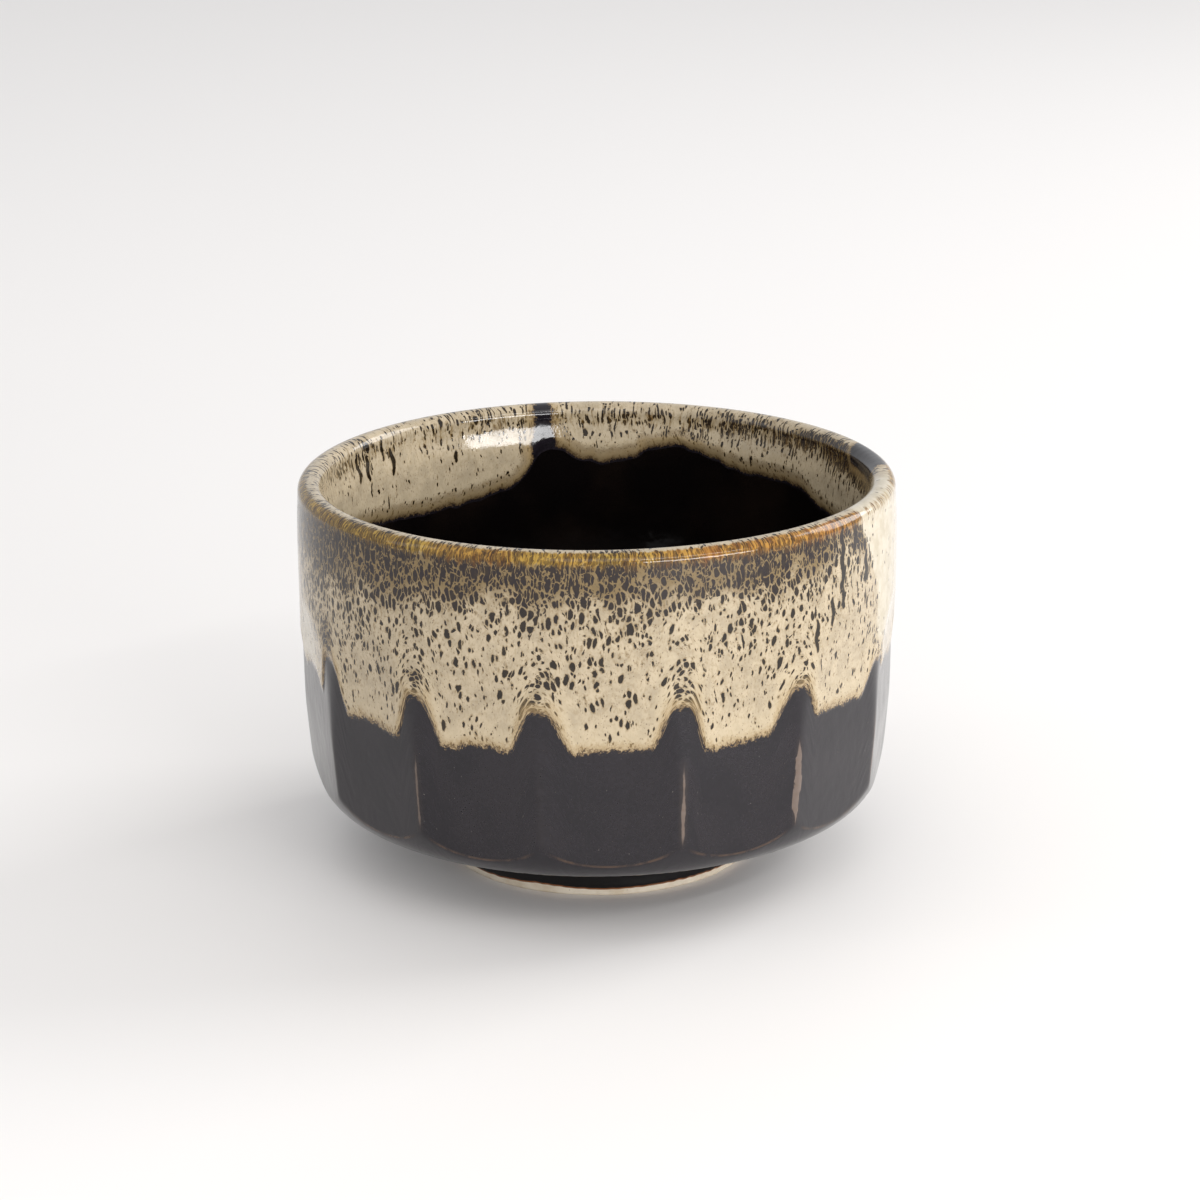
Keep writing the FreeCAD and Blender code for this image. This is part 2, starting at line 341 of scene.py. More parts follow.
def soft_min(a, b, width):
    gap = np.maximum(width - np.abs(a - b), 0)
    return np.minimum(a, b) - gap * gap / (4 * width)


def surface(along, lift):
    """Points of the bowl at each column, at distances along the profile and lifts, in millimetres."""
    r, z, normal_r, normal_z = PROFILE.at(along)
    r = r + lift * normal_r
    z = z + lift * normal_z
    rounded = np.hypot(HALF_FLAT * (1 - np.abs(ACROSS)), ARRIS_ROUND)
    limit = (flat_distance(z) + lift) / np.cos(np.radians(HALF_FLAT - np.minimum(rounded, HALF_FLAT)))
    faceted = (np.asarray(along) < AT["band"]) & (z > FLAT_ENDS[0]) & (z < FLAT_ENDS[1])
    r = np.where(faceted, soft_min(r, limit, 0.30), r)
    # thrown by hand: a shade out of round, and the rim not quite level
    wobble = 1 + 0.0011 * np.sin(np.radians(2 * PHI + 40)) + 0.0007 * np.sin(np.radians(3 * PHI + 115))
    sway = 0.12 * (np.sin(np.radians(2 * PHI + 60)) - 1) * np.clip((z - 50) / 30, 0, 1)
    return np.stack([r * wobble * SIN, -r * wobble * COS, z + sway], 1)


# ---------------------------------------------------------------- attributes that steer the glazes

def height_of(along):
    """The pattern's own height: z on the outer wall, running on over the lip and down inside."""
    return BAND_Z + (np.asarray(along, float) - AT["band"])


def stops(value, pairs):
    """What (place, value) pairs give at a value, along straight lines from pair to pair."""
    return np.interp(value, [p[0] for p in pairs], [p[1] for p in pairs])


# How much of the cream is covered by dark spots, at pattern heights: little low on the wall, a net
# under the lip, and a second, thinner one inside it
COVER = (
    (34, 0.05), (42, 0.07), (50, 0.095), (56, 0.13), (60, 0.17), (64, 0.24), (67, 0.34), (69.5, 0.48),
    (72, 0.64), (74, 0.76), (75.6, 0.80), (76.6, 0.66), (77.3, 0.38), (78.4, 0.32), (79.1, 0.22),
    (79.8, 0.12), (80.8, 0.20), (82.5, 0.36), (84.5, 0.32), (86.0, 0.20), (88.5, 0.07), (91, 0.03),
    (97, 0.02), (104, 0.04),
)
# How amber the glaze is, at pattern heights: all of it on the lip's outer edge
AMBER = (
    (74.4, 0), (75.6, 0.22), (76.6, 0.52), (77.4, 0.95), (78.3, 1.0), (78.8, 0.45), (79.2, 0.08),
    (80.4, 0.04), (81.5, 0.12), (83.0, 0.24), (85.0, 0.26), (87, 0.12), (89, 0.0),
)
# How orange the amber is, at angles; where it is 0 the amber is honey
WARMTH = (
    (-180, 0.0), (-60, 0.0), (-35, 0.08), (-19, 0.55), (-12, 0.10), (0, 0.12), (9, 0.35), (14, 0.60),
    (40, 0.80), (56, 0.85), (62, 0.30), (90, 0.20), (110, 0.1), (180, 0.0),
)
# How far spots are drawn out into streaks, at pattern heights
STREAK = (
    (50, 0.05), (64, 0.10), (70, 0.20), (74, 0.35), (76, 0.7), (77.5, 1.0), (88, 1.0), (96, 0.8),
)
# How busy the net inside the lip is beside COVER, at angles
INNER_BUSY = (
    (-180, 0.7), (-165, 0.6), (-150, 0.75), (-135, 0.35), (-125, 0.75), (-110, 0.8), (-95, 0.4), (-60, 0.7),
    (0, 1.0), (60, 0.8), (88, 1.4), (100, 2.6), (112, 2.2), (122, 1.3), (145, 1.2), (165, 0.9), (180, 0.7),
)
INNER_FROM = 81.0     # the pattern height from which the net counts as the one inside


def flow(along):
    """Where each point lies in the glaze's flow: straight down the wall, and parting over each tongue."""
    y = height_of(along)
    above = np.maximum(y - CREAM_EDGE, 0)
    sag = (CREAM_EDGE - 40.0) * np.exp(-above / 6.0)
    over_tongue = hump(OFFSET, 5.0) * np.exp(-np.maximum(y - ARRIS_TABLE[NEAR, TONGUE], 0) / 5.0)
    angle = np.radians(PHI - 0.5 * OFFSET * over_tongue)
    outside = np.asarray(along) < AT["crest"]
    v = np.where(outside, y - sag, y)
    return np.stack([WALL_R * np.sin(angle), -WALL_R * np.cos(angle), v], 1)


def gap_distance(y):
    """Millimetres from the gaps in the cream: one at the back left, one inside the lip at the right."""
    half = np.interp(y, (62, 68, 75, 80, 90), (-0.8, 0.4, 1.1, 1.5, 2.7))
    back = np.abs(wrapped(PHI + 168)) * DEGREE_MM - half + 0.3 * np.sin(y * 0.9)
    lip_right = np.maximum(
        np.abs(PHI - 101 + 0.8 * (y - 81)) * DEGREE_MM - 9.0,
        np.abs(y - 81.2) - 2.6,
    )
    return np.minimum(back, lip_right)


def tone(along, inner):
    """Cover of dark spots, amber, and millimetres from the edge of the cream."""
    y = height_of(along)
    cover = stops(y, COVER) * np.where(y > INNER_FROM, stops(PHI, INNER_BUSY), 1.0)
    amber = stops(y, AMBER)
    z = PROFILE.at(along)[1]
    edge_height = INNER_CREAM_EDGE if inner else CREAM_EDGE
    slope = np.gradient(edge_height, PHI * DEGREE_MM)
    edge = (z - edge_height) / np.sqrt(1 + np.clip(slope, -4, 4) ** 2)
    edge = np.minimum(edge, gap_distance(y))
    if not inner:
        # spots crowd above each tongue, and gather at the left
        crowd = hump(OFFSET, 3.6) * hump(y - ARRIS_TABLE[NEAR, TONGUE] - 4.0, 4.5)
        cover = cover + 0.26 * crowd
        cover = cover * (1 + 0.45 * ramp(-PHI - 32, 20) * ramp(PHI + 110, 30))
        # among the long drips at the right the small spots thin out
        cover = cover * (1 - 0.35 * hump(PHI - 52, 7.0))
    drape = thick_drape(y)
    return np.stack([cover * (1 - drape), amber * (1 - 0.6 * drape), edge], 1)


def ramp(past, width):
    """0 before a limit, 1 when it is passed by a width or more."""
    return np.clip(past / width, 0, 1)


def thick_drape(y):
    """Where the cream is thick and plain, 0 to 1: on the flats at the far left and the far right."""
    beginning = 56.5 + 0.5 * np.clip(77 - y, 0, 15) + 0.9 * np.maximum(y - 79, 0)
    ending = 90.0 + 6.0 * np.sin((y - 44) / 8.0) + 0.25 * (y - 60)
    low_end = 47 + 0.02 * (PHI - 74) ** 2
    right = ramp(PHI - beginning, 2.6) * ramp(ending - PHI, 9.0) * ramp(y - low_end, 5) * ramp(90 - y, 6)
    near_side = -68.0 - 0.5 * np.maximum(y - 48, 0)
    far_side = -90.0 - 4.0 * np.sin(y / 5.0)
    high_end = 60 + 3.0 * np.sin(PHI / 4.0)
    left = ramp(near_side - PHI, 4.0) * ramp(PHI - far_side, 8.0) * ramp(high_end - y, 7.0)
    return np.maximum(right, left) * ramp(y - 30, 8)


def habit(along):
    """How far spots are drawn into streaks, warmth of the amber, and how thick and plain the cream is."""
    y = height_of(along)
    streak = stops(y, STREAK)
    side = 0.25 * ramp(np.abs(PHI + 4) - 38, 20)
    warmth = stops(PHI, WARMTH)
    return np.stack([np.clip(streak + side, 0, 1), warmth, thick_drape(y)], 1)


def drips(along):
    """Millimetres inside the nearest long drip, and negative outside it."""
    y = height_of(along)
    far_outside = -3.0
    inside = np.full(COUNT, far_outside)
    for angle, start, end, half in DRIPS:
        reach = abs(end - start) / 2
        along_it = np.abs(y - (start + end) / 2) / reach
        spindle = half * np.sqrt(1 - np.clip(along_it, 0, 1) ** 2)
        sideways = (PHI - angle - 0.3 * np.sin(1.3 * y + angle)) * DEGREE_MM
        inside = np.maximum(inside, spindle - np.abs(sideways) - np.maximum(along_it - 1, 0) * reach)
    nothing = np.zeros(COUNT)
    return np.stack([inside, nothing, nothing], 1)


def wear(along):
    """Millimetres to the nearest arris, how worn it is here, and about how many to the nearest rusty
    line: the lower end of the flat, or the glaze's edge on the foot."""
    r, z, _, _ = PROFILE.at(along)
    z = np.broadcast_to(z, PHI.shape)
    ledge = (r - flat_radius(z, HALF_FLAT * np.abs(ACROSS))) / 0.55 + np.maximum(z - 20, 0) * 2
    foot_line = (z - FOOT_GLAZE_EDGE - 0.15) / 1.5
    worn = ARRIS_TABLE[NEAR, WORN] * ramp(z - 19, 4) * ramp(39 - z, 5)
    line = np.minimum(np.abs(ledge), np.abs(foot_line))
    return np.stack([np.abs(OFFSET) * DEGREE_MM, worn, line], 1)


# ---------------------------------------------------------------- meshes

def closed_skin(name, rings, attributes, poles=False):
    """A closed mesh from rings of points. Rings join in a loop, or end in a point at each end."""
    points = np.concatenate(rings) * MM
    total = len(rings)
    index = np.arange(total * COUNT).reshape(total, COUNT)
    following = np.roll(index, -1, axis=1)
    faces = []
    for row in range(total if not poles else total - 1):
        above = (row + 1) % total
        quads = np.stack([index[row], following[row], following[above], index[above]], 1)
        faces.extend(map(tuple, quads.tolist()))
    if poles:
        ends = [rings[0].mean(0) * MM, rings[-1].mean(0) * MM]
        points = np.concatenate([points, ends])
        first, last = total * COUNT, total * COUNT + 1
        faces.extend((first, int(b), int(a)) for a, b in zip(index[0], following[0]))
        faces.extend((last, int(a), int(b)) for a, b in zip(index[-1], following[-1]))
    mesh = bpy.data.meshes.new(name)
    mesh.from_pydata(points.tolist(), [], faces)
    mesh.update()
    for title, rows in attributes.items():
        values = np.concatenate(rows)
        if poles:
            values = np.concatenate([values, values[:1], values[-1:]])
        layer = mesh.attributes.new(title, "FLOAT_VECTOR", "POINT")
        layer.data.foreach_set("vector", values.astype(np.float32).ravel())
    mesh.polygons.foreach_set("use_smooth", [True] * len(mesh.polygons))
    piece = bpy.data.objects.new(name, mesh)
    bpy.context.scene.collection.objects.link(piece)
    return piece


def coat(name, front, back, makers, poles=False):
    """A coat of glaze: rows of (along, lift) on its face, then on its back."""
    rows = front + back
    rings = [surface(along, lift) for along, lift in rows]
    attributes = {title: [make(along) for along, _ in rows] for title, make in makers.items()}
    return closed_skin(name, rings, attributes, poles)


def every(low, high, count):
    """Even steps from low to high, which may differ at each column."""
    for share in np.linspace(0, 1, count):
        yield low + (high - low) * share


def wall_along(z):
    """Distance along the profile of a height on the outer wall."""
    return AT["wall"] + (z - WALL_LOW)


def inner_along(z):
    """Distance along the profile of a height on the inner wall."""
    return AT["inner_band"] + (BAND_Z - z) / math.cos(INNER_LEAN)


def ledge_along():
    """Where each column leaves the uncut underside and meets its flat."""
    halvings = 30
    low = np.full(COUNT, AT["heel"])
    high = np.full(COUNT, AT["wall"] - 1.0)
    for _ in range(halvings):
        middle = (low + high) / 2
        r, z, _, _ = PROFILE.at(middle)
        proud = r > flat_radius(z, HALF_FLAT * np.abs(ACROSS))
        high = np.where(proud, middle, high)
        low = np.where(proud, low, middle)
    return (low + high) / 2


LEDGE = ledge_along()
OUTER_MAKERS = {"flow": flow, "tone": lambda along: tone(along, False), "habit": habit, "drip": drips}
INNER_MAKERS = {"flow": flow, "tone": lambda along: tone(along, True), "habit": habit, "drip": drips}
DARK_MAKERS = {"flow": flow, "wear": wear}


def dark_outer():
    """The dark coat outside, with its lower edge on the foot and close rows beside each ledge."""
    foot = FOOT_GLAZE_EDGE - 0.4
    foot_steps = ((0, -0.48), (0.15, -0.25), (0.4, -0.08), (0.8, 0.0))
    ledge_steps = (-0.8, -0.5, -0.25, 0, 0.25, 0.5, 0.8, 1.3, 2.0)
    front = [(foot + reach, lift) for reach, lift in foot_steps]
    front += [(a, 0.0) for a in every(foot + 1.3, LEDGE - 1.2, 26)]
    front += [(LEDGE + reach, 0.0) for reach in ledge_steps]
    front += [(a, 0.0) for a in every(LEDGE + 3.0, wall_along(52.0), 26)]
    front += [(a, 0.0) for a in every(wall_along(55.0), AT["band"] - SEAM, 8)]
    front += [(AT["band"], 0.0)]
    back = [(a, -DARK_COAT) for a in every(AT["band"], foot, 22)]
    return coat("dark_outer_coat", front, back, DARK_MAKERS)


def dark_inner():
    """The dark coat inside, closed at the middle of the floor."""
    front = [(a, 0.0) for a in every(AT["axis"] - 1.0, AT["dish"], 14)]
    front += [(a, 0.0) for a in every(AT["dish"] - 1.0, AT["base"], 16)]
    front += [(a, 0.0) for a in every(AT["base"] - 2.0, AT["inner_band"], 24)]
    back = [(a, -DARK_COAT) for a in every(AT["inner_band"], AT["base"], 6)]
    back += [(a, -DARK_COAT) for a in every(AT["base"] + 3.0, AT["axis"] - 1.0, 10)]
    return coat("dark_inner_coat", front, back, {"flow": flow}, poles=True)


def rim_coat():
    """The amber coat over the lip, from band to band."""
    front = [(AT["band"], CREAM_COAT)]
    front += [(a, CREAM_COAT) for a in every(AT["band"] + SEAM, AT["inner_band"] - SEAM, 36)]
    front += [(AT["inner_band"], CREAM_COAT)]
    back = [(a, -DARK_COAT) for a in every(AT["inner_band"], AT["band"], 12)]
    return coat("rim_coat", front, back, OUTER_MAKERS)


# How the cream glaze rises from its lower edge: millimetres above the edge, and lift
EDGE_STEPS = (
    (-1.6, -0.06), (-1.1, -0.03), (-0.6, 0.0), (-0.2, 0.04), (0.2, 0.1), (0.6, 0.18), (1.0, 0.26),
    (1.5, 0.33), (2.1, 0.38), (3.0, 0.40), (4.0, 0.38),
)
# The same inside, where it ends in a roll
ROLL = (
    (-1.6, -0.06), (-0.6, 0.0), (-0.2, 0.06), (0.2, 0.20), (0.6, 0.42), (1.0, 0.64), (1.6, 0.88),
    (2.4, 1.08), (3.4, 1.22), (5.0, 1.30),
)
ROLL_ROWS = (3.0, 2.4, 2.0, 1.6, 1.3, 1.0, 0.8, 0.6, 0.4, 0.2, 0.0, -0.3, -0.6, -1.1, -1.6)


def cream_outer():
    """The cream coat on the wall, which hangs lower on the flats than on the arrises."""
    edge = wall_along(CREAM_EDGE)
    front = [(edge + reach, lift) for reach, lift in EDGE_STEPS]
    front += [(a, CREAM_COAT) for a in every(edge + 5.0, AT["band"] - SEAM, 40)]
    front += [(AT["band"], CREAM_COAT)]
    back = [(a, BACK_LIFT) for a in every(AT["band"], edge - 1.6, 12)]
    return coat("cream_outer_coat", front, back, OUTER_MAKERS)


def cream_inner():
    """This coat has run down and hangs in a thick roll above its lower edge."""
    edge = inner_along(INNER_CREAM_EDGE)
    start = AT["inner_band"]
    places = [start] + list(every(start + SEAM, edge - 3.6, 26)) + [edge - above for above in ROLL_ROWS]
    sag = 0.90
    front = []
    for place in places:
        share = ramp(place - start, 7.0)
        sagging = CREAM_COAT + sag * share * share * (3 - 2 * share)
        front.append((place, np.minimum(sagging, stops(edge - place, ROLL))))
    back = [(a, BACK_LIFT) for a in every(edge + 1.6, start, 10)]
    return coat("cream_inner_coat", front, back, INNER_MAKERS)


def turned_ring(name, outline, uneven, poles=False):
    """A ring or disc from (r, z) points, slightly out of round."""
    rings = []
    wave = ripple(17, 60, 15)
    for r, z in outline:
        radius = r + uneven * wave
        rings.append(np.stack([radius * SIN, -radius * COS, np.full(COUNT, z)], 1))
    places = [np.stack([WALL_R * SIN, -WALL_R * COS, np.full(COUNT, z)], 1) for _, z in outline]
    return closed_skin(name, rings, {"flow": places}, poles)


def foot():
    """The clay ring that the bowl stands on, a little swollen at its outer corner."""
    outer_side = [(30.7, WELL_Z), (30.7, 5.2), (30.7, 4.0), (30.7, 2.8), (30.72, 2.0), (30.78, 1.5)]
    outer_corner = [(30.86, 1.1), (30.92, 0.8), (30.94, 0.5), (30.86, 0.26), (30.68, 0.10), (30.4, 0.02)]
    underside = [(30.0, 0.0), (28.6, 0.0), (27.2, 0.0)]
    inner_corner = [(26.4, 0.02), (25.95, 0.12), (25.62, 0.32), (25.46, 0.62), (25.36, 1.2)]
    inner_side = [(25.2, 2.4), (25.0, 4.0), (24.8, 5.4), (24.62, WELL_Z)]
    top = [(26.5, WELL_Z), (29.0, WELL_Z)]
    outline = outer_side + outer_corner + underside + inner_corner + inner_side + top
    return turned_ring("foot_ring_clay", outline, 0.10)


def well():
    """The coat inside the foot: the underside of the bowl, a soft corner, and the ring's inner side."""
    ceiling = [(1.5, 6.1), (6.0, 6.1), (12.0, 6.1), (17.0, 6.1), (21.0, 6.08)]
    corner = [(22.6, 6.02), (23.4, 5.8), (24.0, 5.3), (24.30, 4.6), (24.42, 3.8)]
    side = [(24.55, 2.6), (24.66, 1.85), (24.80, 1.62), (24.98, 1.55)]
    behind = [(25.22, 1.7), (25.1, 2.9), (24.85, 4.8), (24.6, WELL_Z)]
    above = [(20.0, WELL_Z), (10.0, WELL_Z), (1.5, WELL_Z)]
    return turned_ring("foot_well_coat", ceiling + corner + side + behind + above, 0.0, poles=True)


# ---------------------------------------------------------------- materials

class Tree:
    """A material's node tree, with a short call for each kind of node used here."""

    def __init__(self, name):
        self.material = bpy.data.materials.new(name)
        self.material.use_nodes = True
        self.nodes = self.material.node_tree.nodes
        self.links = self.material.node_tree.links
        self.nodes.clear()

    def add(self, kind, inputs, **settings):
        node = self.nodes.new(kind)
        for key, value in settings.items():
            setattr(node, key, value)
        for key, value in inputs.items():
            if isinstance(value, bpy.types.NodeSocket):
                self.links.new(value, node.inputs[key])
            else:
                node.inputs[key].default_value = value
        return node

    def attribute(self, name):
        return self.add("ShaderNodeAttribute", {}, attribute_name=name).outputs["Vector"]

    def parts(self, vector):
        return self.add("ShaderNodeSeparateXYZ", {0: vector}).outputs

    def math(self, operation, a, b=0.0, c=0.0, clamp=False):
        inputs = {0: a, 1: b, 2: c}
        return self.add("ShaderNodeMath", inputs, operation=operation, use_clamp=clamp).outputs[0]

    def vector(self, operation, a, b):
        return self.add("ShaderNodeVectorMath", {0: a, 1: b}, operation=operation).outputs[0]

    def between(self, value, low, high, to_low=0.0, to_high=1.0):
        inputs = {"Value": value, "From Min": low, "From Max": high, "To Min": to_low, "To Max": to_high}
        return self.add("ShaderNodeMapRange", inputs, interpolation_type="SMOOTHSTEP").outputs["Result"]

    def mix(self, share, a, b):
        return self.add("ShaderNodeMix", {0: share, 6: a, 7: b}, data_type="RGBA").outputs[2]

    def noise(self, place, scale, detail=2.0, roughness=0.5):
        inputs = {"Vector": place, "Scale": scale, "Detail": detail, "Roughness": roughness}
        return self.add("ShaderNodeTexNoise", inputs).outputs

    def cells(self, place, feature="F1"):
        return self.add("ShaderNodeTexVoronoi", {"Vector": place, "Scale": 1.0}, feature=feature).outputs

    def stretch(self, place, width, height, shift=0.0):
        scaled = self.vector("MULTIPLY", place, (1 / width, 1 / width, 1 / height))
        return self.vector("ADD", scaled, (shift, 0.37 * shift, 0.71 * shift))

    def place_mm(self):
        """The point's own place on the object, in millimetres."""
        place = self.add("ShaderNodeTexCoord", {}).outputs["Object"]
        return self.vector("MULTIPLY", place, (1 / MM, 1 / MM, 1 / MM))

    def finish(self, colour, roughness, height, bump_mm, ior=1.5):
        inputs = {"Height": height, "Distance": bump_mm * MM, "Strength": 1.0}
        bump = self.add("ShaderNodeBump", inputs).outputs["Normal"]
        inputs = {"Base Color": colour, "Roughness": roughness, "IOR": ior, "Normal": bump}
        shader = self.add("ShaderNodeBsdfPrincipled", inputs)
        self.add("ShaderNodeOutputMaterial", {"Surface": shader.outputs[0]})
        return self.material


def rgb(r, g, b):
    return (r, g, b, 1.0)


# Cream glaze, from plain to browned
CREAM = rgb(0.500, 0.412, 0.286)
CREAM_GREY = rgb(0.395, 0.325, 0.225)
CREAM_WARM = rgb(0.530, 0.435, 0.292)
CREAM_THICK = rgb(0.58, 0.52, 0.41)
CREAM_THICK_GREY = rgb(0.48, 0.42, 0.31)
CURD = rgb(0.30, 0.225, 0.125)
TAN = rgb(0.215, 0.145, 0.062)
OLIVE = rgb(0.160, 0.107, 0.040)
POOL_TAN = rgb(0.29, 0.205, 0.090)
POOL_LINE = rgb(0.15, 0.095, 0.04)
EDGE_TAN = rgb(0.33, 0.225, 0.10)
EDGE_BROWN = rgb(0.115, 0.070, 0.032)
FLECK = rgb(0.11, 0.075, 0.04)

# The spots in it
SPOT = rgb(0.010, 0.0065, 0.0035)
SPOT_GREY = rgb(0.015, 0.010, 0.0115)
SPOT_BROWN = rgb(0.034, 0.022, 0.010)

# The amber lip
ORANGE = rgb(0.40, 0.185, 0.036)
HONEY = rgb(0.41, 0.262, 0.046)
UMBER = rgb(0.090, 0.043, 0.005)
RUST = rgb(0.15, 0.040, 0.006)
BURNT = rgb(0.030, 0.014, 0.006)

# The dark glazes, and where the outer one is rubbed or ends
DARK = rgb(0.0085, 0.0068, 0.0095)
DARK_WARM = rgb(0.0130, 0.0102, 0.0132)
DARK_GRAIN = rgb(0.024, 0.021, 0.028)
DARK_SPECK = rgb(0.30, 0.27, 0.24)
# BLACK is also used as painted shade on the outer dark glaze near the foot.
BLACK = rgb(0.0030, 0.0022, 0.0022)
BLACK_BROWN = rgb(0.011, 0.007, 0.005)
RUBBED = rgb(0.19, 0.150, 0.130)
RUBBED_TAN = rgb(0.145, 0.098, 0.070)
RUBBED_SOFT = rgb(0.085, 0.062, 0.048)
HEM = rgb(0.13, 0.075, 0.043)
HEM_ORANGE = rgb(0.30, 0.11, 0.04)

# Bare clay, each in a light and a deep shade, and the floor
FOOT_SHADES = rgb(0.70, 0.62, 0.50), rgb(0.60, 0.50, 0.37)
BODY_SHADES = rgb(0.58, 0.47, 0.34), rgb(0.48, 0.37, 0.25)
CLAY_SPECK = rgb(0.16, 0.11, 0.07)
FLOOR_GREY = rgb(0.87, 0.845, 0.825)

# Cells that hold one spot each: width and height in millimetres
LARGE_CELL = (1.2, 2.5)
SMALL_CELL = (0.74, 1.55)
LONG_CELL = (0.62, 4.6)
TINY_CELL = (0.36, 0.55)

TURNING = 2 * math.pi / 5.5      # the finger rings left by the wheel lie 5.5 mm apart


def dark_colour(tree, place):
    """The dark glaze: purple-grey, faintly mottled, with tiny pale specks."""
    mottle = tree.between(tree.noise(place, 0.085, 3)[0], 0.35, 0.65)
    grain = tree.between(tree.noise(place, 1.6, 3)[0], 0.3, 0.8)
    base = tree.mix(mottle, DARK, DARK_WARM)
    base = tree.mix(tree.math("MULTIPLY", grain, 0.35), base, DARK_GRAIN)
    cell = tree.cells(tree.stretch(place, 1.5, 1.5, 3.1))
    lucky = tree.math("LESS_THAN", tree.parts(cell["Color"])[0], 0.22)
    speck = tree.math("MULTIPLY", tree.between(cell["Distance"], 0.075, 0.03), lucky)
    return tree.mix(tree.math("MULTIPLY", speck, 0.5), base, DARK_SPECK)


def spots(tree, place, size, shift, radius, chance):
    """Dark ovals, at most one in each cell of (width, height) millimetres, with a thread left between.

    Returns how dark it is, and how far inside an oval's edge, in cells."""
    grid = tree.stretch(place, size[0], size[1], shift)
    cell = tree.cells(grid)
    pick = tree.parts(cell["Color"])
    reach = tree.math("MULTIPLY", radius, tree.math("MULTIPLY_ADD", pick[0], 0.60, 0.65))
    inside = tree.math("SUBTRACT", reach, cell["Distance"])
    thread = tree.math("SUBTRACT", tree.cells(grid, "DISTANCE_TO_EDGE")["Distance"], 0.045)
    inside = tree.math("SMOOTH_MIN", inside, thread, 0.16)
    kept = tree.math("LESS_THAN", pick[1], chance)
    inside = tree.math("MULTIPLY_ADD", tree.math("SUBTRACT", 1.0, kept), -9.0, inside)
    return tree.between(inside, -0.02, 0.05), inside


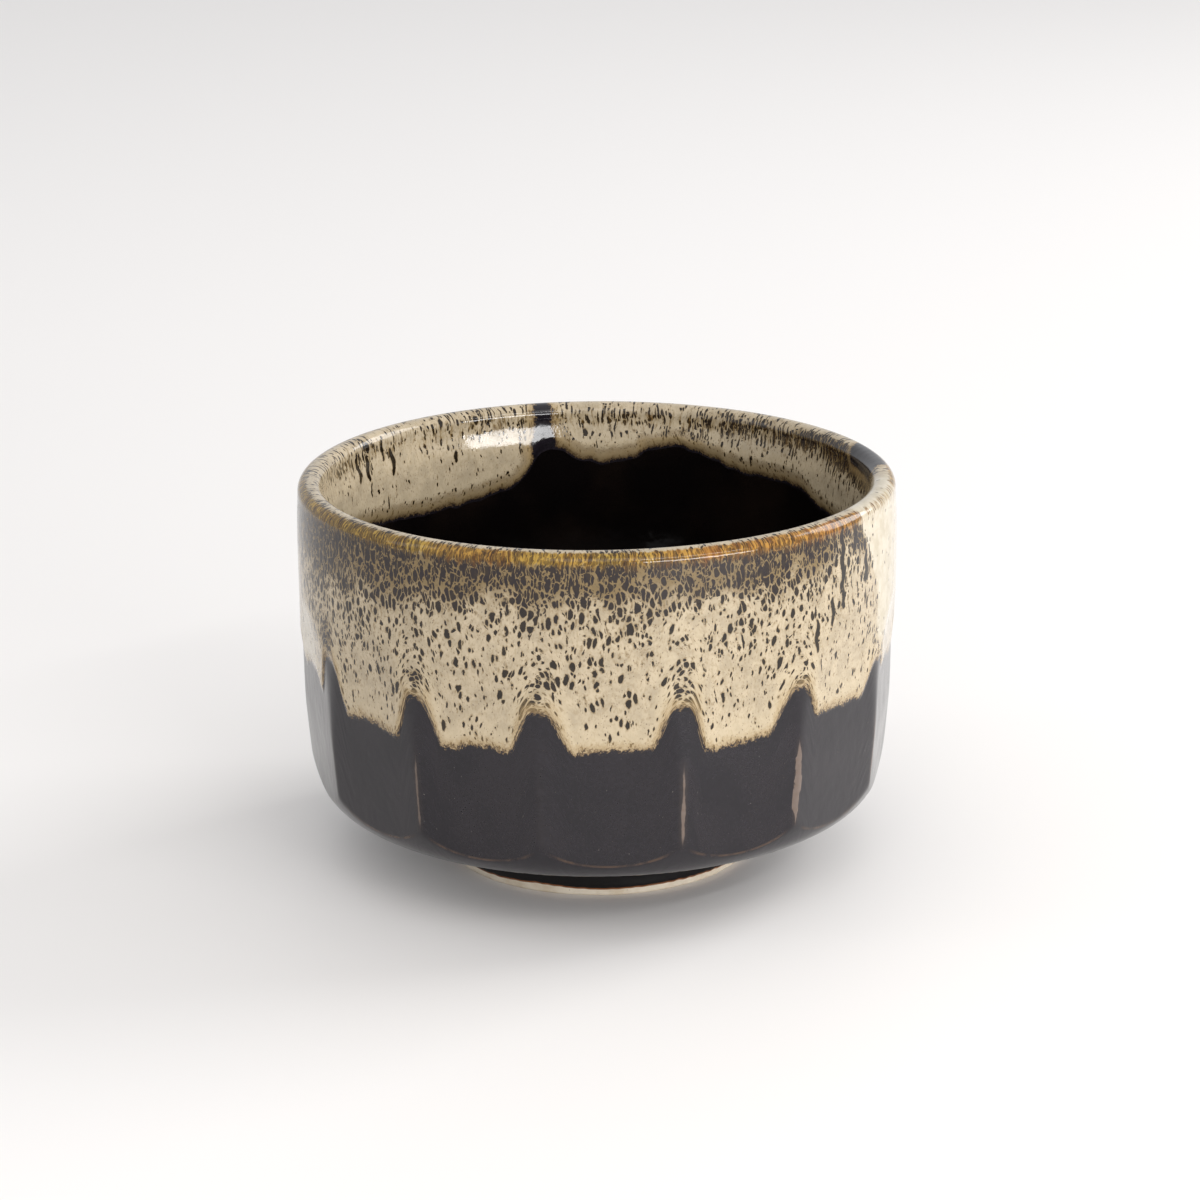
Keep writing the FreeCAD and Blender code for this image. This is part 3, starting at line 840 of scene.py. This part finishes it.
def layered_glaze(name, pooled=0.0):
    """Cream glaze over dark: ovals and streaks of dark, an amber lip and a browned lower edge.

    Pooled is how far the lowest few millimetres have turned tan."""
    tree = Tree(name)
    place = tree.attribute("flow")
    cover, amber, edge = tree.parts(tree.attribute("tone"))[:3]
    streak, warmth, drape = tree.parts(tree.attribute("habit"))[:3]

    # the flow wanders a little, so that no oval is perfect
    wander = tree.vector("SUBTRACT", tree.noise(place, 0.20, 1)["Color"], (0.5, 0.5, 0.5))
    bent = tree.vector("ADD", place, tree.vector("MULTIPLY", wander, (2.2, 2.2, 1.8)))
    fine = tree.vector("SUBTRACT", tree.noise(place, 1.2, 2)["Color"], (0.5, 0.5, 0.5))
    bent = tree.vector("ADD", bent, tree.vector("MULTIPLY", fine, (0.50, 0.50, 0.70)))

    # patches where spots gather or thin out
    patch = tree.between(tree.noise(place, 0.14, 2)[0], 0.3, 0.7, 0.75, 1.25)
    thick = tree.math("MULTIPLY", cover, patch, clamp=True)
    near_edge = tree.between(edge, 3.2, 0.4, 0.0, 0.30)
    if pooled:
        row = tree.math("MULTIPLY", tree.between(edge, 1.6, 2.6), tree.between(edge, 4.4, 3.2))
        near_edge = tree.math("ADD", near_edge, tree.math("MULTIPLY", row, 0.5))

    # large ovals, small ones in the cream between them, and streaks drawn out along the flow
    radius = tree.math("MULTIPLY_ADD", thick, 0.45, 0.34)
    massed = tree.math("MULTIPLY", thick, tree.math("MULTIPLY_ADD", streak, -2.2, 2.3))
    massed = tree.math("MULTIPLY", massed, tree.between(thick, 0.42, 0.70, 1.0, 0.45))
    large, large_in = spots(tree, bent, LARGE_CELL, 0.0, radius, massed)
    clear = tree.between(large_in, -0.10, -0.26)
    radius = tree.math("MULTIPLY_ADD", thick, 0.55, 0.30)
    chance = tree.math("MULTIPLY_ADD", thick, 1.8, 0.10)
    small, small_in = spots(tree, bent, SMALL_CELL, 5.3, radius, tree.math("ADD", chance, near_edge))
    small = tree.math("MULTIPLY", small, clear)
    drawn = tree.math("MULTIPLY", thick, streak)
    radius = tree.math("MULTIPLY_ADD", drawn, 0.5, 0.34)
    long, long_in = spots(tree, bent, LONG_CELL, 2.9, radius, tree.math("MULTIPLY", drawn, 1.9))
    chance = tree.math("ADD", tree.math("MULTIPLY_ADD", thick, 0.5, 0.16), near_edge)
    tiny, _ = spots(tree, bent, TINY_CELL, 9.7, 0.36, chance)
    dark = tree.math("MAXIMUM", tree.math("MAXIMUM", large, small), long)
    halo = tree.math("MAXIMUM", tree.between(large_in, -0.14, 0.0), tree.between(long_in, -0.16, 0.0))
    halo = tree.math("MAXIMUM", halo, tree.math("MULTIPLY", tree.between(small_in, -0.16, 0.0), clear))
    run = tree.parts(tree.attribute("drip"))[0]
    run = tree.math("MULTIPLY_ADD", tree.noise(bent, 0.8, 2)[0], 0.6, run)
    dark = tree.math("MAXIMUM", dark, tree.between(run, 0.16, 0.30))
    halo = tree.math("MAXIMUM", halo, tree.between(run, -0.05, 0.18))

    # cream ground
    cloud = tree.between(tree.noise(place, 0.30, 4, 0.6)[0], 0.35, 0.68)
    ground = tree.mix(cloud, CREAM, CREAM_GREY)
    curd = tree.between(tree.noise(tree.stretch(bent, 0.45, 0.8), 1.0, 3, 0.6)[0], 0.44, 0.70, 0.0, 0.50)
    ground = tree.mix(curd, ground, CURD)
    ground = tree.mix(tree.between(edge, 8.0, 1.0, 0.0, 0.65), ground, CREAM_WARM)
    ground = tree.mix(tree.between(thick, 0.24, 0.70, 0.0, 0.90), ground, OLIVE)
    if pooled:
        fringe = tree.noise(tree.stretch(bent, 1.6, 1.2, 7.7), 1.0, 3, 0.6)[0]
        mark = tree.math("MULTIPLY_ADD", fringe, 2.4, edge)
        pool = tree.between(mark, 5.4, 2.0, 0.0, pooled)
        ground = tree.mix(pool, ground, POOL_TAN)
        line = tree.math("MULTIPLY", tree.between(mark, 2.6, 3.6), tree.between(mark, 5.0, 3.8))
        ground = tree.mix(tree.math("MULTIPLY", line, 0.35), ground, POOL_LINE)
    ground = tree.mix(tree.math("MULTIPLY", halo, 0.62), ground, TAN)
    ground = tree.mix(tree.math("MULTIPLY", tiny, 0.55), ground, FLECK)
    torn = tree.noise(tree.stretch(bent, 0.9, 6.0, 4.7), 1.0, 3)[0]
    drape = tree.between(tree.math("MULTIPLY_ADD", torn, 1.0, drape), 0.75, 1.25)
    plain = tree.mix(cloud, CREAM_THICK, CREAM_THICK_GREY)
    ground = tree.mix(tree.math("MULTIPLY", drape, 0.9), ground, plain)
    ink = tree.mix(tree.between(thick, 0.15, 0.6), SPOT, SPOT_GREY)
    brown = tree.between(tree.noise(place, 0.9, 2)[0], 0.4, 0.7, 0.0, 0.5)
    ink = tree.mix(brown, ink, SPOT_BROWN)
    colour = tree.mix(tree.math("MULTIPLY", dark, 0.99), ground, ink)

    # the amber lip
    drip = tree.noise(tree.stretch(bent, 0.62, 4.5, 1.3), 1.0, 3, 0.6)[0]
    pool = tree.noise(tree.stretch(place, 7.0, 20.0, 3.3), 1.0, 1)[0]
    warm = tree.math("ADD", warmth, tree.math("MULTIPLY_ADD", pool, 0.9, -0.45), clamp=True)
    lip_tone = tree.mix(warm, HONEY, ORANGE)
    lip_tone = tree.mix(tree.between(drip, 0.42, 0.66, 0.0, 0.85), lip_tone, tree.mix(warm, UMBER, RUST))
    tick = tree.noise(tree.stretch(bent, 0.34, 2.6, 6.1), 1.0, 2, 0.5)[0]
    lip_tone = tree.mix(tree.between(tick, 0.52, 0.63, 0.0, 0.85), lip_tone, BURNT)
    lip_tone = tree.mix(tree.math("MULTIPLY", dark, 0.58), lip_tone, BURNT)
    ragged = tree.between(tree.math("MULTIPLY_ADD", drip, 1.7, amber), 1.05, 1.55)
    ragged = tree.math("MULTIPLY", ragged, tree.between(amber, 0.02, 0.22))
    colour = tree.mix(ragged, colour, lip_tone)

    # the lower edge: cream, tan, brown, then bare dark glaze
    tooth = tree.math("SUBTRACT", tree.noise(bent, 0.9, 3, 0.6)[0], 0.5)
    bite = tree.math("SUBTRACT", tree.noise(bent, 2.8, 2)[0], 0.5)
    calm = 0.5 if pooled else 1.0
    worn = tree.math("ADD", edge, tree.math("MULTIPLY", tooth, 3.0 * calm))
    worn = tree.math("ADD", worn, tree.math("MULTIPLY", bite, 2.6 * calm))
    colour = tree.mix(tree.between(worn, 2.8, 0.5, 0.0, 0.62), colour, EDGE_TAN)
    colour = tree.mix(tree.between(worn, 0.95, 0.15, 0.0, 0.85), colour, EDGE_BROWN)
    below = tree.between(worn, 0.30, -0.15)
    colour = tree.mix(below, colour, dark_colour(tree, place))

    peel = tree.noise(place, 0.55, 2)[0]
    covered = tree.math("SUBTRACT", 1.0, below)
    height = tree.math("MULTIPLY_ADD", tree.math("MULTIPLY", dark, covered), -0.10, peel)
    roughness = tree.between(cloud, 0.0, 1.0, 0.08, 0.14)
    return tree.finish(colour, roughness, height, 0.05, 1.46)


def dark_glaze(name):
    """The dark coat outside: rubbed to tan on the arrises, brown where a flat ends, and darkened to black
    towards the foot as painted shade.
    """
    tree = Tree(name)
    place = tree.attribute("flow")
    arris, rubbed, ledge = tree.parts(tree.attribute("wear"))[:3]
    colour = dark_colour(tree, place)
    patchy = tree.noise(tree.stretch(place, 1.2, 5.0, 2.2), 1.0, 4, 0.6)[0]
    spread = tree.math("MULTIPLY", tree.math("POWER", rubbed, 1.6), 1.15)
    width = tree.math("MULTIPLY", tree.between(patchy, 0.30, 0.66, 0.25, 1.0), spread)
    line = tree.between(tree.math("SUBTRACT", width, arris), -0.10, 0.12)
    line = tree.math("MULTIPLY", line, tree.between(rubbed, 0.12, 0.6))
    tan = tree.mix(tree.noise(place, 1.2, 3)[0], RUBBED, RUBBED_TAN)
    soft = tree.math("MULTIPLY", tree.between(arris, 1.3, 0.1, 0.0, 0.35), rubbed)
    colour = tree.mix(soft, colour, RUBBED_SOFT)
    colour = tree.mix(tree.math("MULTIPLY", line, 0.85), colour, tan)
    # Painted shade: below about 8 mm the glaze is darkened to black, standing in for the shadow under the
    # bowl that the foot's side shows.
    level = tree.parts(tree.add("ShaderNodeTexCoord", {}).outputs["Object"])[2]
    low = tree.between(level, 8.0 * MM, 3.5 * MM)
    colour = tree.mix(low, colour, BLACK)
    broken = tree.between(tree.noise(tree.stretch(place, 3.0, 3.0, 4.4), 1.0, 3)[0], 0.28, 0.60)
    broken = tree.math("MULTIPLY", broken, tree.between(arris, 0.8, 5.0))
    hem = tree.math("MULTIPLY", tree.between(ledge, 0.34, 0.06), tree.math("MAXIMUM", broken, low))
    hem = tree.math("MULTIPLY", hem, tree.math("MULTIPLY_ADD", low, 0.45, 0.45))
    colour = tree.mix(hem, colour, tree.mix(low, HEM, HEM_ORANGE))
    peel = tree.noise(place, 0.35, 2)[0]
    roughness = tree.between(tree.noise(place, 0.12, 2)[0], 0.3, 0.7, 0.09, 0.17)
    return tree.finish(colour, roughness, peel, 0.06, 1.45)


def black_glaze(name):
    """The coat inside: black and glassy, faintly brown where it thins, over soft rings from the wheel."""
    tree = Tree(name)
    place = tree.place_mm()
    brown = tree.between(tree.noise(place, 0.06, 3)[0], 0.45, 0.75, 0.0, 0.6)
    colour = tree.mix(brown, BLACK, BLACK_BROWN)
    level = tree.vector("MULTIPLY", place, (1, 1, 0))
    reach = tree.add("ShaderNodeVectorMath", {0: level}, operation="LENGTH")
    uneven = tree.math("MULTIPLY", tree.noise(place, 0.05, 2)[0], 5.0)
    turn = tree.math("ADD", reach.outputs["Value"], uneven)
    rings = tree.math("SINE", tree.math("MULTIPLY", turn, TURNING))
    peel = tree.math("MULTIPLY_ADD", rings, 1.1, tree.noise(place, 0.25, 2)[0])
    roughness = tree.between(tree.noise(place, 0.1, 2)[0], 0.3, 0.7, 0.06, 0.12)
    return tree.finish(colour, roughness, peel, 0.05)


def clay(name, shades):
    """Unglazed stoneware: cloudy, with fine grog and small dark specks."""
    tree = Tree(name)
    place = tree.place_mm()
    cloud = tree.between(tree.noise(place, 0.25, 4, 0.6)[0], 0.35, 0.7)
    colour = tree.mix(cloud, *shades)
    cell = tree.cells(tree.stretch(place, 0.9, 0.9))
    lucky = tree.math("LESS_THAN", tree.parts(cell["Color"])[0], 0.3)
    speck = tree.math("MULTIPLY", tree.between(cell["Distance"], 0.16, 0.06), lucky)
    colour = tree.mix(tree.math("MULTIPLY", speck, 0.6), colour, CLAY_SPECK)
    grog = tree.noise(place, 3.0, 4, 0.7)[0]
    roughness = tree.between(cloud, 0.0, 1.0, 0.72, 0.88)
    return tree.finish(colour, roughness, grog, 0.06)


def paint(piece, material):
    piece.data.materials.clear()
    piece.data.materials.append(material)


# ---------------------------------------------------------------- the object

def place_piece(piece, node, material):
    paint(piece, material)
    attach(piece, "root")
    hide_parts(node)


place_piece(dark_outer(), "dark_glaze_outer", dark_glaze("dark_glaze_mat"))
place_piece(dark_inner(), "dark_glaze_inner", black_glaze("black_glaze_mat"))
place_piece(cream_outer(), "cream_glaze_outer", layered_glaze("cream_outer_mat"))
place_piece(cream_inner(), "cream_glaze_inner", layered_glaze("cream_inner_mat", 0.6))
place_piece(rim_coat(), "rim_glaze", layered_glaze("rim_mat"))
place_piece(foot(), "foot_ring", clay("foot_clay_mat", FOOT_SHADES))
place_piece(well(), "foot_well_glaze", black_glaze("well_glaze_mat"))
paint(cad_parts["clay_body"], clay("body_clay_mat", BODY_SHADES))


# ---------------------------------------------------------------- stage

def floor():
    mesh = bpy.data.meshes.new("floor")
    half = 6.0
    corners = [(-half, -half, 0), (half, -half, 0), (half, half, 0), (-half, half, 0)]
    mesh.from_pydata(corners, [], [(0, 1, 2, 3)])
    ground = bpy.data.objects.new("floor", mesh)
    bpy.context.scene.collection.objects.link(ground)
    tree = Tree("floor_mat")
    shader = tree.add("ShaderNodeBsdfPrincipled", {"Base Color": FLOOR_GREY, "Roughness": 0.55})
    tree.add("ShaderNodeOutputMaterial", {"Surface": shader.outputs[0]})
    mesh.materials.append(tree.material)


def area_light(name, place, target, size, power, colour=(1.0, 1.0, 1.0)):
    data = bpy.data.lights.new(name, "AREA")
    data.shape = "RECTANGLE"
    data.size, data.size_y = size
    data.energy = power
    data.color = colour
    lamp = bpy.data.objects.new(name, data)
    bpy.context.scene.collection.objects.link(lamp)
    lamp.location = place
    lamp.rotation_mode = "QUATERNION"
    lamp.rotation_quaternion = (Vector(target) - Vector(place)).to_track_quat("-Z", "Y")


def studio():
    world = bpy.data.worlds.new("studio")
    bpy.context.scene.world = world
    world.use_nodes = True
    background = world.node_tree.nodes["Background"]
    background.inputs["Color"].default_value = (0.97, 0.98, 1.0, 1.0)
    background.inputs["Strength"].default_value = 0.76
    bpy.context.scene.view_settings.view_transform = "Standard"
    middle = (0.0, 0.0, 0.045)
    area_light("low_strip", (0.74, -0.94, 0.26), middle, (0.9, 0.17), 7.5)
    area_light("high_strip", (0.68, -0.87, 0.85), middle, (0.9, 0.05), 2.2)
    area_light("side", (1.2, 0.55, 0.8), middle, (0.8, 0.8), 10.8)
    area_light("left", (-1.2, -0.2, 0.8), middle, (0.3, 0.9), 0.8)
    area_light("front", (0.1, -1.5, 1.5), middle, (1.4, 1.0), 6.0, (1.0, 0.95, 0.90))


def camera():
    """A long lens from the front, a little above, tilted by half a degree."""
    distance, elevation, roll = 0.700, math.radians(17.15), math.radians(-0.49)
    aim = Vector((0.00054, 0.0, 0.05211))
    look = Vector((0, math.cos(elevation), -math.sin(elevation)))
    level = Vector((1, 0, 0))
    upright = Vector((0, math.sin(elevation), math.cos(elevation)))
    right = level * math.cos(roll) + upright * math.sin(roll)
    up = upright * math.cos(roll) - level * math.sin(roll)
    data = bpy.data.cameras.new("camera")
    data.lens, data.sensor_width = 103.35, 36.0
    data.clip_start, data.clip_end = 0.01, 30.0
    eye = bpy.data.objects.new("camera", data)
    bpy.context.scene.collection.objects.link(eye)
    turn = Matrix((right, up, -look)).transposed()
    eye.matrix_world = Matrix.Translation(aim - look * distance) @ turn.to_4x4()
    bpy.context.scene.camera = eye


floor()
studio()
camera()
